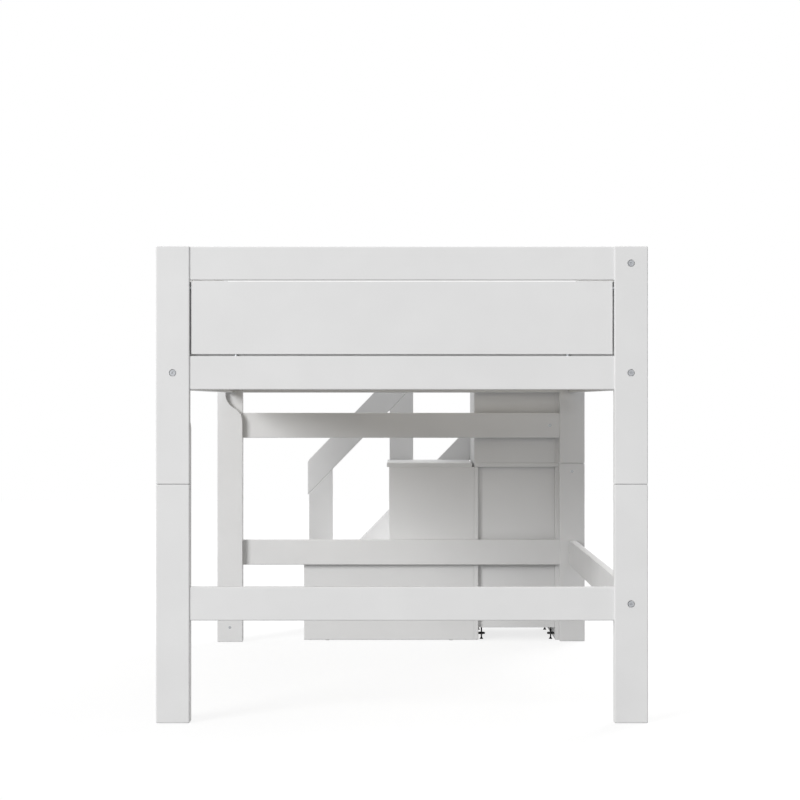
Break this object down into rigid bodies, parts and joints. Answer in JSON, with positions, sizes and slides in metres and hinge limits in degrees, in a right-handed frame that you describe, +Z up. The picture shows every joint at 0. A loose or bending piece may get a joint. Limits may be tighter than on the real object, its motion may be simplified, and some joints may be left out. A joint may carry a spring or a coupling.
{
  "type": "loft bed with stairs",
  "caption": "Low white loft bed for a single mattress, with slatted base, guard panels, and box steps over a small cabinet with a banister across its far end.",
  "frame": {"origin": "on the floor, under the middle of the whole object", "axes": "+Z up, +Y along the bed from its near end to the steps, +X across the bed in the direction in which the steps climb"},
  "size_m": [1.32, 2.544, 1.28],
  "materials": {
    "white_lacquer": "satin white lacquer",
    "white_board": "matt white coated board",
    "spruce": "planed, unfinished",
    "beech": "fluted, unfinished",
    "zinc_steel": "bright zinc plate",
    "blackened_steel": "black, satin",
    "glide_plastic": "moulded, matt"
  },
  "bodies": {
    "bed_and_steps": {"leg_near_left": "white_lacquer", "leg_near_right": "white_lacquer", "leg_far_left": "white_lacquer", "leg_far_right": "white_lacquer", "post_near_left": "white_lacquer", "post_near_right": "white_lacquer", "post_far_left": "white_lacquer", "post_far_right": "white_lacquer", "stiffener_near": "white_lacquer", "stiffener_far": "white_lacquer", "near_top_rail": "white_lacquer", "near_bed_rail": "white_lacquer", "near_low_rail": "white_lacquer", "far_top_rail": "white_lacquer", "far_bed_rail": "white_lacquer", "far_cross_rail": "white_lacquer", "far_low_rail": "white_lacquer", "entry_post": "white_lacquer", "right_top_rail": "white_lacquer", "right_bed_rail": "white_lacquer", "right_low_rail": "white_lacquer", "left_top_rail": "white_lacquer", "left_bed_rail": "white_lacquer", "near_guard_panel": "white_lacquer", "far_guard_panel": "white_lacquer", "side_guard_panels": "white_lacquer", "handrail": "white_lacquer", "landing_rail": "white_lacquer", "banister_post_1": "white_lacquer", "banister_post_2": "white_lacquer", "landing_posts": "white_lacquer", "lower_guards": "white_lacquer", "base_bed_side_panel": "white_board", "base_outer_panel": "white_board", "riser_1": "white_board", "riser_2": "white_board", "riser_3": "white_board", "tread_1": "white_board", "tread_2": "white_board", "cabinet_left_side": "white_board", "cabinet_right_side": "white_board", "cabinet_top": "white_board", "cabinet_back": "white_board", "cabinet_floor": "white_board", "landing_bed_side_panel": "white_board", "landing_outer_panel": "white_board", "landing_right_end": "white_board", "landing_board": "white_board", "connector_bolts": "zinc_steel", "cross_nuts": "zinc_steel", "wood_screws": "zinc_steel", "guard_pins": "zinc_steel", "dowels": "beech", "slats": "spruce", "slat_ledgers": "spruce", "glides": "glide_plastic"},
    "foot_bed_side_left": {"levelling_foot_bed_side_left": "blackened_steel"},
    "foot_bed_side_right": {"levelling_foot_bed_side_right": "blackened_steel"},
    "foot_outer_left": {"levelling_foot_outer_left": "blackened_steel"},
    "foot_outer_right": {"levelling_foot_outer_right": "blackened_steel"}
  },
  "joints": [
    {"name": "turn_bed_side_left", "type": "hinge", "parent": "bed_and_steps", "child": "foot_bed_side_left", "pos_m": [0.2915, 0.849, 0.052], "axis": [0, 0, 1], "continuous": true},
    {"name": "turn_bed_side_right", "type": "hinge", "parent": "bed_and_steps", "child": "foot_bed_side_right", "pos_m": [0.543, 0.849, 0.052], "axis": [0, 0, 1], "continuous": true},
    {"name": "turn_outer_left", "type": "hinge", "parent": "bed_and_steps", "child": "foot_outer_left", "pos_m": [0.2915, 1.175, 0.052], "axis": [0, 0, 1], "continuous": true},
    {"name": "turn_outer_right", "type": "hinge", "parent": "bed_and_steps", "child": "foot_outer_right", "pos_m": [0.543, 1.175, 0.052], "axis": [0, 0, 1], "continuous": true}
  ]
}
